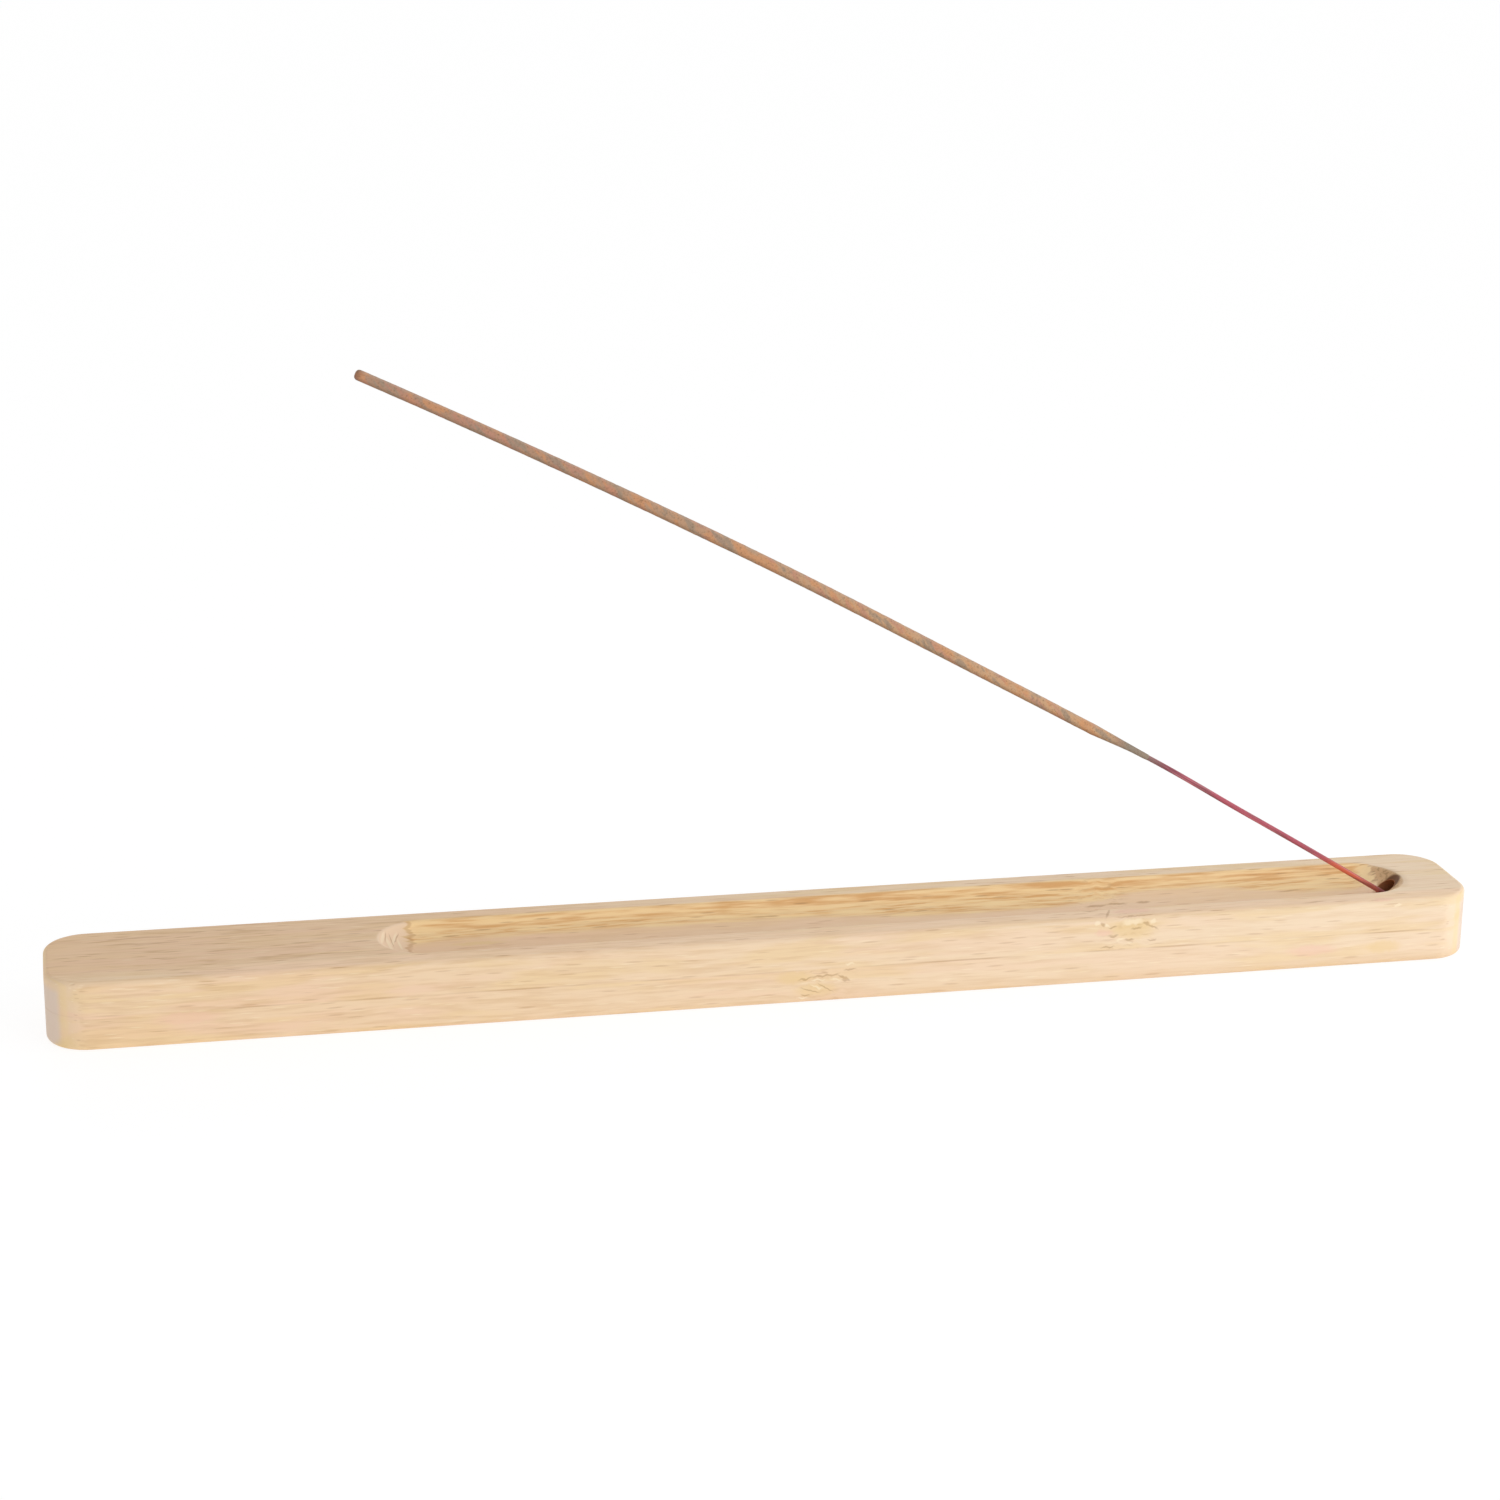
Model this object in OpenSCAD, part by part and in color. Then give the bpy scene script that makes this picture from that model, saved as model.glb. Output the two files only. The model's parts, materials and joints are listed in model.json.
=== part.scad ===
// Incense stick holder: a bamboo bar glued up from two strips, with a cove
// groove that catches the ash and a slanted hole that holds one stick.
// X runs along the bar towards the hole, Y across the bar and Z up.
// The origin is the middle of the underside.

/* [Bar] */
// Length of the bar
bar_l = 260; // [210:1:320]
// Width of the bar
bar_w = 25; // [22:0.5:36]
// Height of the bar
bar_h = 12.5; // [11.5:0.25:18]
// Radius of the four vertical corners
corner_r = 7.5; // [4:0.5:9]
// Radius that eases the top and bottom edges
edge_r = 0.9; // [0.5:0.1:1.5]
// Thickness of the lower strip, up to the glue line
lower_t = 6.25; // [5:0.25:7]

/* [Ash groove] */
// Radius of the round cutter that makes the groove
cutter_r = 10; // [9:0.25:12]
// Depth of the groove at its middle
groove_depth = 4; // [3:0.25:5]
// Distance from the bar's plain end to the groove
plain_end = 58; // [20:1:80]
// Distance from the bar's hole end to the groove
hole_end = 10.5; // [9:0.5:16]
// Radius that eases the groove's lip
lip_r = 1; // [0.4:0.1:1.4]

/* [Stick hole] */
// Diameter of the hole
hole_d = 3.8; // [3:0.1:4.2]
// Angle of the hole below level
hole_tilt = 47; // [40:1:50]
// Depth of the hole along its lower side
hole_depth = 10.3; // [8.5:0.1:11]
// Distance from the groove's end back to the middle of the hole's mouth
mouth_inset = 2.3; // [2:0.1:3.5]
// Angle across the drill's point
point_angle = 118; // [90:1:140]

/* [Incense stick] */
// Length of the stick
stick_l = 226.5; // [190:0.5:260]
// Diameter of the bamboo core
core_d = 1; // [0.8:0.1:1.4]
// Diameter over the incense paste
coat_d = 2.1; // [1.8:0.1:2.8]
// Length of core left bare at the lower end
bare_l = 65.5; // [45:0.5:80]
// Length over which the paste thins out above the bare core
taper_l = 14; // [6:0.5:25]
// Length of solid paste beyond the core's upper end
tip_l = 2.5; // [2:0.25:6]
// Radius that rounds the paste's blunt tip
tip_r = 0.6; // [0.2:0.1:0.8]
// Straight length at the lower end, below the bow
shank_l = 19.5; // [15:0.5:30]
// Radius of the stick's slight bow
bow_r = 1830; // [1200:10:6000]

/* [Fits] */
// Clearance where the stick bears in the hole
seat_gap = 0.05; // [0.02:0.01:0.1]
// Clearance between the core and the paste around it
coat_gap = 0.02; // [0.01:0.01:0.05]

/* [Hidden] */
$fn = 96;
// Facets of a full turn of the bow
bow_facets = 1440;
// Overrun of every cut past the surface that it opens
overrun = 1;
// Thickness of the paste where it starts
paste_edge = 0.08;
// Step down from the full run of paste to its start and to its tip
paste_step = 0.04;

// Middle of the cutter above the underside, and half of the groove's width
cutter_z = bar_h - groove_depth + cutter_r;
groove_half_w = sqrt(pow(cutter_r, 2) - pow(cutter_r - groove_depth, 2));
// Ends of the cutter's straight run along the bar
run_x0 = -bar_l / 2 + plain_end + groove_half_w;
run_x1 = bar_l / 2 - hole_end - groove_half_w;
// Middle of the round on the lip, which touches the top and the groove
lip_z = bar_h - lip_r;
lip_y = sqrt(pow(cutter_r + lip_r, 2) - pow(cutter_z - lip_z, 2));

// Directions in X and Z: down the hole, and square to it on its upper side
hole_dir = [cos(hole_tilt), -sin(hole_tilt)];
hole_up = [sin(hole_tilt), cos(hole_tilt)];
// Middle of the hole's mouth on the groove's end wall, from the cutter's middle
mouth_u = groove_half_w - mouth_inset;
mouth = [mouth_u, -sqrt(pow(cutter_r, 2) - pow(mouth_u, 2))];
// Where the hole's lower side comes out of the wall, measured down the hole
lower_side = mouth - hole_up * hole_d / 2;
lower_run = lower_side * hole_dir;
lip_s = sqrt(pow(lower_run, 2) - lower_side * lower_side + pow(cutter_r, 2)) - lower_run;
hole_floor = lip_s + hole_depth;
hole_lead = hole_d;
point_h = hole_d / 2 / tan(point_angle / 2);
mouth_x = run_x1 + mouth[0];
mouth_z = cutter_z + mouth[1];

// The stick bears on the lower side of the mouth and under the hole's ceiling.
// Its upper corner lies this far down the hole and this far above the lower side.
seat_s = hole_depth - core_d / 2;
seat_r = hole_d - seat_gap;
seat_w = core_d + seat_gap;
seat_l = sqrt(pow(seat_s, 2) + pow(seat_r, 2) - pow(seat_w, 2));
lean = atan2(seat_r, seat_s) - atan2(seat_w, seat_l);
stick_tilt = hole_tilt - lean;
// Middle of the stick's lower end
axis_r = seat_gap + core_d / 2;
end_s = lip_s + seat_l * cos(lean) - axis_r * sin(lean);
end_r = seat_l * sin(lean) + axis_r * cos(lean) - hole_d / 2;
stick_end = mouth + hole_dir * end_s + hole_up * end_r;

echo(stick_axis = [-cos(stick_tilt), 0, sin(stick_tilt)], stick_tilt = stick_tilt);

// Half of the bar's outline in section, out to a given reach
module eased_half(reach) {
    square([reach - edge_r, bar_h]);
    translate([0, edge_r]) square([reach, bar_h - 2 * edge_r]);
    for (z = [edge_r, bar_h - edge_r])
        translate([reach - edge_r, z]) circle(r = edge_r);
}

// The bar before it is cut: two long sides, two ends and four round corners
module bar_blank() {
    side_l = bar_l - 2 * corner_r;
    end_w = bar_w - 2 * corner_r;
    for (side = [0, 1]) mirror([0, side, 0])
        translate([-side_l / 2, 0, 0]) rotate([90, 0, 90])
            linear_extrude(side_l) eased_half(bar_w / 2);
    for (end = [0, 1]) mirror([end, 0, 0]) {
        translate([side_l / 2, end_w / 2, 0]) rotate([90, 0, 0])
            linear_extrude(end_w) eased_half(corner_r);
        for (side = [0, 1]) mirror([0, side, 0])
            translate([side_l / 2, end_w / 2, 0])
                rotate_extrude(angle = 90) eased_half(corner_r);
    }
}

// Half of the groove in section, with the round that eases its lip left standing
module groove_half() {
    difference() {
        union() {
            intersection() {
                translate([0, cutter_z]) circle(r = cutter_r);
                square([cutter_r, cutter_z]);
            }
            polygon([[0, cutter_z], [lip_y, lip_z], [lip_y, cutter_z]]);
        }
        translate([lip_y, lip_z]) circle(r = lip_r);
    }
}

// Room that the cutter clears: a straight run with a round end at each side
module ash_groove() {
    for (side = [0, 1]) mirror([0, side, 0])
        translate([run_x0, 0, 0]) rotate([90, 0, 90])
            linear_extrude(run_x1 - run_x0) groove_half();
    translate([run_x1, 0, 0]) rotate([0, 0, -90])
        rotate_extrude(angle = 180) groove_half();
    translate([run_x0, 0, 0]) rotate([0, 0, 90])
        rotate_extrude(angle = 180) groove_half();
}

// Room that the drill clears, down to the cone of its point
module stick_hole() {
    translate([mouth_x, 0, mouth_z]) rotate([0, 90 + hole_tilt, 0]) {
        translate([0, 0, -hole_lead]) cylinder(h = hole_lead + hole_floor, d = hole_d);
        translate([0, 0, hole_floor]) cylinder(h = point_h, d1 = hole_d, d2 = 0);
    }
}

// The finished bar between two heights
module strip(z0, z1) {
    intersection() {
        difference() {
            bar_blank();
            ash_groove();
            stick_hole();
        }
        translate([-bar_l / 2 - overrun, -bar_w / 2 - overrun, z0])
            cube([bar_l + 2 * overrun, bar_w + 2 * overrun, z1 - z0]);
    }
}

module lower_strip() {
    color("burlywood") strip(-overrun, lower_t);
}

module upper_strip() {
    color("wheat") strip(lower_t, bar_h + overrun);
}

// Puts a stick, drawn from its lower end along -X, into the hole
module in_hole() {
    translate([run_x1 + stick_end[0], 0, cutter_z + stick_end[1]])
        rotate([0, stick_tilt, 0]) children();
}

// Angle along the bow at a length from the stick's lower end
function bow_angle(s) = (s - shank_l) / bow_r * 180 / PI;

// Sets children on the bowed stick, with -X on towards its tip
module on_bow(s) {
    translate([-shank_l, 0, -bow_r]) rotate([0, -bow_angle(s), 0])
        translate([0, 0, bow_r]) children();
}

// A round rod that follows the bow between two lengths from the lower end
module bowed_rod(d, s0, s1) {
    translate([-shank_l, 0, -bow_r]) rotate([90, -90, 0]) rotate([0, 0, bow_angle(s0)])
        rotate_extrude(angle = bow_angle(s1) - bow_angle(s0), $fn = bow_facets)
            translate([bow_r, 0]) circle(d = d, $fn = 32);
}

module stick_core() {
    color("crimson") in_hole() {
        rotate([0, -90, 0]) cylinder(h = shank_l, d = core_d, $fn = 32);
        bowed_rod(core_d, shank_l, stick_l - tip_l);
    }
}

// The blunt end of the paste, which laps back into the full run
module paste_tip() {
    r = coat_d / 2 - paste_step;
    rotate_extrude($fn = 32) {
        translate([0, -coat_d]) square([r, 2 * coat_d - tip_r]);
        square([r - tip_r, coat_d]);
        translate([r - tip_r, coat_d - tip_r]) intersection() {
            circle(r = tip_r, $fn = 32);
            square(tip_r);
        }
    }
}

// The paste: a thin start, a full run and a rounded tip, closed over the core
module incense_coat() {
    lap = coat_d / 2;
    full_d = coat_d - 2 * paste_step;
    color("rosybrown") in_hole() difference() {
        union() {
            on_bow(bare_l + taper_l / 2) rotate([0, -90, 0]) translate([0, 0, -taper_l / 2])
                cylinder(h = taper_l, d1 = core_d + 2 * paste_edge, d2 = full_d, $fn = 32);
            bowed_rod(coat_d, bare_l + taper_l - lap, stick_l - lap);
            on_bow(stick_l - coat_d) rotate([0, -90, 0]) paste_tip();
        }
        bowed_rod(core_d + 2 * coat_gap, bare_l - overrun, stick_l - tip_l + coat_gap);
    }
}

lower_strip();
upper_strip();
stick_core();
incense_coat();
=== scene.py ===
"""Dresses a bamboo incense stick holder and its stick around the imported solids.

The bar is glued up from two bamboo strips, with a cove groove for the ash and a
slanted hole for the stick. Every length is in metres and every place is in the
frame of the solids: X along the bar, Y across it and Z up. Shader patterns are
read in millimetres.
"""

import json
import logging
import math
from dataclasses import dataclass, field
from enum import Enum

import bmesh
import bpy
from mathutils import Matrix, Vector, noise

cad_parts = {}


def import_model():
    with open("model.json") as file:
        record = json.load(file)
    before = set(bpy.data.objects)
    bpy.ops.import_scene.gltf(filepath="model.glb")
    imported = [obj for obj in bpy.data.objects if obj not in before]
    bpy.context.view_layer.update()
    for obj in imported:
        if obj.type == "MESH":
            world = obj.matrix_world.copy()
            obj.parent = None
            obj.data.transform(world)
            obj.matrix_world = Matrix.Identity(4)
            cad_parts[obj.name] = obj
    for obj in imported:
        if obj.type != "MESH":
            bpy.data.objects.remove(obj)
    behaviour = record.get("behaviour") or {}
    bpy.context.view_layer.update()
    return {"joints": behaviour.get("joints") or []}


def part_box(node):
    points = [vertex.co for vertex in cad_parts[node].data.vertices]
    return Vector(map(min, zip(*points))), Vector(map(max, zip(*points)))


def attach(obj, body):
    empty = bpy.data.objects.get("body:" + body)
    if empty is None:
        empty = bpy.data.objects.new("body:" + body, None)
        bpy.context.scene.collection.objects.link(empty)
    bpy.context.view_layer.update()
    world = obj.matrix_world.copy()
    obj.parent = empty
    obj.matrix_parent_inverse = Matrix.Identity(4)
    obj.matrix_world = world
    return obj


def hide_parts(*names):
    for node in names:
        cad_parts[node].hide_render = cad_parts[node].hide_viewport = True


LOG = logging.getLogger("incense_holder")
MM = 0.001
WELD = MM / 1000
SHARP = math.radians(35)
# Rows of a matrix that holds a turn and a shift
ROWS = 4
# The display's levels and its curve: a straight toe up to a limit, then a shifted power
TOP_LEVEL = 255
TOE_LIMIT = 0.04045
TOE_SLOPE = 12.92
CURVE_SHIFT = 0.055
CURVE_POWER = 2.4
# Middle level of a noise, and the detail of the one that shifts the fibres
NOISE_MIDDLE = (0.5, 0.5, 0.5)
DRIFT_DETAIL = 1.0
# Edges of a dash and of a stroke: where each starts and where it is full, in half-widths
DASH_EDGE = (1.6, 0.6)
STROKE_EDGE = (1.3, 0.5)

Colour = tuple[float, float, float, float]
Pair = tuple[float, float]
Triple = tuple[float, float, float]
Mesh = bmesh.types.BMesh
Vert = bmesh.types.BMVert
Edge = bmesh.types.BMEdge
Ring = list[Vert | Edge]
Socket = bpy.types.NodeSocket
Value = float | tuple | Socket


class Body(Enum):
    """The bodies of the frame that pieces ride on."""

    HOLDER = "holder"
    STICK = "stick"


class Slot(Enum):
    """The record's material slots."""

    BAMBOO = "bamboo"
    DYED = "dyed_bamboo"
    PASTE = "incense_paste"


def paint(red: int, green: int, blue: int) -> Colour:
    """Turns a display colour into the linear colour that a shader takes.

    Args:
        red: Display red, 0 to 255.
        green: Display green, 0 to 255.
        blue: Display blue, 0 to 255.

    Returns:
        The linear colour, with full alpha.
    """

    def channel(level: int) -> float:
        """Turns one display level into a linear one."""
        share = level / TOP_LEVEL
        if share <= TOE_LIMIT:
            return share / TOE_SLOPE
        return ((share + CURVE_SHIFT) / (1 + CURVE_SHIFT)) ** CURVE_POWER

    return channel(red), channel(green), channel(blue), 1.0


WHITE = paint(255, 255, 255)
PINK = paint(243, 200, 178)
YELLOW = paint(238, 208, 150)
# Tan of the grain's streaks and threads, also used as painted shade along the bottom edge
STREAK_AND_SHADE = paint(220, 184, 140)
DASH = paint(188, 146, 104)
FLECK = paint(255, 238, 208)
# Brown of the end wall's spots, also used as painted shade round the hole and on the lip past the groove
WALL_SPOT_AND_SHADE = paint(150, 118, 80)
DYED_PINK = paint(228, 150, 158)
DARK_PASTE = paint(124, 98, 76)


@dataclass(frozen=True)
class Stroke:
    """A short mark on the wood, in millimetres.

    Its level is the way up the front and then back over the top.
    """

    along: float
    level: float
    length: float
    thickness: float
    turn: float = 0.0


@dataclass(frozen=True)
class Tone:
    """A colour that is laid over another one.

    Its span is the reading at which it starts and the one at which it is full.
    Without a span, the reading is its share.
    """

    colour: Colour
    strength: float
    span: Pair | None = None


class Graph:
    """A node tree, filled by short calls."""

    def __init__(self, tree: bpy.types.NodeTree) -> None:
        """Empties a tree and starts on it.

        Args:
            tree: The tree of a material or a world.
        """
        self.tree = tree
        tree.nodes.clear()

    def add(self, kind: str, inputs: dict[str | int, Value], **settings: object) -> bpy.types.Node:
        """Adds one node.

        Args:
            kind: The node's type name without its ShaderNode prefix.
            inputs: Numbers, colours or sockets for the node's inputs.
            **settings: Properties of the node, set before its inputs.

        Returns:
            The new node.
        """
        node = self.tree.nodes.new("ShaderNode" + kind)
        for name, setting in settings.items():
            setattr(node, name, setting)
        for key, value in inputs.items():
            if isinstance(value, Socket):
                self.tree.links.new(value, node.inputs[key])
            else:
                node.inputs[key].default_value = value
        return node

    def place(self) -> Socket:
        """Adds the object's own coordinates and returns them in millimetres."""
        coordinates = self.add("TexCoord", {}).outputs["Object"]
        return self.add("VectorMath", {0: coordinates, "Scale": 1 / MM}, operation="SCALE").outputs[0]

    def normal(self) -> list[Socket]:
        """Adds the object's own normal and returns its three parts."""
        return self.split(self.add("TexCoord", {}).outputs["Normal"])

    def split(self, vector: Value) -> list[Socket]:
        """Returns the three parts of a vector."""
        return list(self.add("SeparateXYZ", {0: vector}).outputs)

    def join(self, first: Value, second: Value, third: Value) -> Socket:
        """Returns a vector of three parts."""
        return self.add("CombineXYZ", {0: first, 1: second, 2: third}).outputs[0]

    def math(self, operation: str, first: Value, second: Value = 0.0, third: Value = 0.0) -> Socket:
        """Adds a sum on numbers and returns its result."""
        return self.add("Math", {0: first, 1: second, 2: third}, operation=operation).outputs[0]

    def times(self, first: Value, second: Value) -> Socket:
        """Returns the product of two numbers."""
        return self.math("MULTIPLY", first, second)

    def minus(self, first: Value, second: Value) -> Socket:
        """Returns the first number less the second."""
        return self.math("SUBTRACT", first, second)

    def vector(self, operation: str, first: Value, second: Value = (0.0, 0.0, 0.0)) -> Socket:
        """Adds a sum on vectors and returns its result."""
        node = self.add("VectorMath", {0: first, 1: second}, operation=operation)
        return node.outputs["Value" if operation in {"DOT_PRODUCT", "LENGTH"} else "Vector"]

    def texture(self, kind: str, place: Value, scale: Triple, **inputs: Value) -> bpy.types.Node:
        """Adds a texture that is read at a scaled place.

        Args:
            kind: The node's type name without its ShaderNode prefix.
            place: Where it is read, in millimetres.
            scale: Turns or cells of the pattern in a millimetre along each axis.
            **inputs: Its other inputs.

        Returns:
            The new node.
        """
        inputs |= {"Vector": self.vector("MULTIPLY", place, scale), "Scale": 1.0}
        return self.add(kind, inputs)

    def noise(self, place: Value, scale: Triple, detail: float = 2.0) -> Socket:
        """Adds soft noise and returns its level, 0 to 1.

        Args:
            place: Where it is read, in millimetres.
            scale: Turns of the pattern in a millimetre along each axis.
            detail: Number of finer layers.

        Returns:
            The noise's level.
        """
        return self.texture("TexNoise", place, scale, Detail=detail).outputs[0]

    def drift(self, place: Value, scale: Triple, reach: Value) -> Socket:
        """Returns a soft random shift of the fibres across the bar.

        Args:
            place: Where it is read, in millimetres.
            scale: Turns of the pattern in a millimetre along each axis.
            reach: Full width of the shift, in millimetres.

        Returns:
            The shift, with nothing along the bar.
        """
        levels = self.texture("TexNoise", place, scale, Detail=DRIFT_DETAIL).outputs[1]
        level = self.vector("SUBTRACT", levels, NOISE_MIDDLE)
        return self.vector("MULTIPLY", level, self.join(0.0, reach, reach))

    def step(self, value: Value, low: float, high: float) -> Socket:
        """Adds a soft step and returns it: 0 at low, 1 at high."""
        inputs = {"Value": value, "From Min": low, "From Max": high}
        return self.add("MapRange", inputs, interpolation_type="SMOOTHSTEP").outputs[0]

    def window(self, value: Value, middle: float, core: float, reach: float) -> Socket:
        """Adds a soft window and returns it: 1 within core of the middle, 0 past reach."""
        return self.step(self.math("ABSOLUTE", self.minus(value, middle)), reach, core)

    def dashes(self, place: Value, scale: Triple, width: float) -> Socket:
        """Draws one short dash in each cell.

        Args:
            place: Where it is read, in millimetres.
            scale: Cells in a millimetre along each axis.
            width: The dash's half-width, as a share of its cell.

        Returns:
            1 on a dash and 0 off it.
        """
        cells = self.texture("TexVoronoi", place, scale).outputs["Distance"]
        return self.step(cells, *(width * edge for edge in DASH_EDGE))

    def strokes(self, place: Value, marks: tuple[Stroke, ...]) -> Socket:
        """Draws single marks at given places.

        Args:
            place: Length along and level, in millimetres.
            marks: The marks.

        Returns:
            1 on a mark and 0 off all of them.
        """
        total: Value = 0.0
        for mark in marks:
            inputs = {
                "Vector": place,
                "Location": (mark.along, mark.level, 0.0),
                "Rotation": (0.0, 0.0, math.radians(mark.turn)),
                "Scale": (mark.length / 2, mark.thickness / 2, 1.0),
            }
            turned = self.add("Mapping", inputs, vector_type="TEXTURE").outputs[0]
            total = self.math("MAXIMUM", total, self.step(self.vector("LENGTH", turned), *STROKE_EDGE))
        return total

    def tint(self, colour: Value, other: Value, share: Value, strength: float = 1.0) -> Socket:
        """Mixes another colour in and returns the result.

        Args:
            colour: The colour so far.
            other: The colour to mix in.
            share: Where it shows, 0 to 1.
            strength: How much of it shows there.

        Returns:
            The mixed colour.
        """
        share = self.times(share, strength)
        # A Mix node's colours are its inputs 6 and 7 and its output 2
        return self.add("Mix", {0: share, 6: colour, 7: other}, data_type="RGBA").outputs[2]

    def lay(self, colour: Value, tone: Tone, reading: Value, *limits: Value) -> Socket:
        """Lays a tone over a colour.

        Args:
            colour: The colour so far.
            tone: The tone.
            reading: What the tone's span is read on.
            *limits: Shares that hold the tone back.

        Returns:
            The mixed colour.
        """
        share = self.step(reading, *tone.span) if tone.span else reading
        for limit in limits:
            share = self.times(share, limit)
        return self.tint(colour, tone.colour, share, tone.strength)

    def surface(self, colour: Value, roughness: Value, height: Value, depth: float, specular: float) -> None:
        """Ends a material in a shader with a raised surface.

        Args:
            colour: Base colour.
            roughness: Roughness, even or as a pattern.
            height: Relief, 0 to 1.
            depth: Real depth of the relief, in metres.
            specular: Specular level.
        """
        bump = self.add("Bump", {"Height": height, "Distance": depth, "Strength": 1.0}).outputs[0]
        shader = self.add("BsdfPrincipled", {
            "Base Color": colour,
            "Roughness": roughness,
            "Normal": bump,
            "Specular IOR Level": specular,
        }).outputs[0]
        self.add("OutputMaterial", {"Surface": shader})


def new_material(name: str) -> tuple[bpy.types.Material, Graph]:
    """Adds an empty material and returns it with its graph."""
    material = bpy.data.materials.new(name)
    material.use_nodes = True
    return material, Graph(material.node_tree)


@dataclass(frozen=True)
class BarSizes:
    """The bar's sizes: the outer ones from the frame, the rest as its maker sets them."""

    length: float
    width: float
    height: float
    glue_z: float
    corner_r: float = 7.5 * MM
    edge_r: float = 0.9 * MM
    cutter_r: float = 10 * MM
    groove_depth: float = 4 * MM
    plain_end: float = 58 * MM
    hole_end: float = 10.5 * MM
    lip_r: float = 1 * MM
    hole_r: float = 1.9 * MM
    hole_tilt: float = math.radians(47)
    hole_depth: float = 10.3 * MM
    mouth_inset: float = 2.3 * MM
    point_half_angle: float = math.radians(59)

    @property
    def groove_half_w(self) -> float:
        """Half the groove's width where the cutter leaves the top."""
        return math.sqrt(self.cutter_r**2 - (self.cutter_r - self.groove_depth) ** 2)

    @property
    def cutter_z(self) -> float:
        """Height of the cutter's middle."""
        return self.height - self.groove_depth + self.cutter_r

    @property
    def run(self) -> Pair:
        """Where the cutter's straight run starts and ends along the bar."""
        start = -self.length / 2 + self.plain_end + self.groove_half_w
        return start, self.length / 2 - self.hole_end - self.groove_half_w

    @property
    def lip(self) -> Pair:
        """Middle of the round on the groove's lip: off the bar's middle, and up."""
        up = self.height - self.lip_r
        reach = self.cutter_r + self.lip_r
        return math.sqrt(reach**2 - (self.cutter_z - up) ** 2), up

    @property
    def cutter(self) -> Vector:
        """The cutter's middle at the hole's end of its run."""
        return Vector((self.run[1], 0, self.cutter_z))

    @property
    def mouth(self) -> Vector:
        """Middle of the stick hole's mouth on the groove's end wall."""
        along = self.groove_half_w - self.mouth_inset
        return self.cutter + Vector((along, 0, -math.sqrt(self.cutter_r**2 - along**2)))

    @property
    def drill_axis(self) -> Vector:
        """Direction down the stick hole."""
        return Vector((math.cos(self.hole_tilt), 0, -math.sin(self.hole_tilt)))

    @property
    def hole_floor(self) -> float:
        """Depth of the hole's full bore below its mouth, along its middle."""
        square = Vector((math.sin(self.hole_tilt), 0, math.cos(self.hole_tilt)))
        lower_side = self.mouth - self.cutter - square * self.hole_r
        run = lower_side.dot(self.drill_axis)
        lip = math.sqrt(run**2 - lower_side.length_squared + self.cutter_r**2) - run
        return lip + self.hole_depth


@dataclass
class Grain:
    """What the patterns of one wood surface share: its sockets and the bar's sizes.

    The level is the way up the front and then back over the top. The seeded place
    has the strip's own shift, and the fibres' place also sways as they do.
    """

    graph: Graph
    sizes: BarSizes
    place: Socket
    along: Socket
    across: Socket
    up: Socket
    normal: list[Socket]
    level: Socket
    seeded: Socket
    at_node: Socket
    at_right: Socket
    fibres: Socket
    streak: Socket
    thread: Socket
    dashes: Socket


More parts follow.
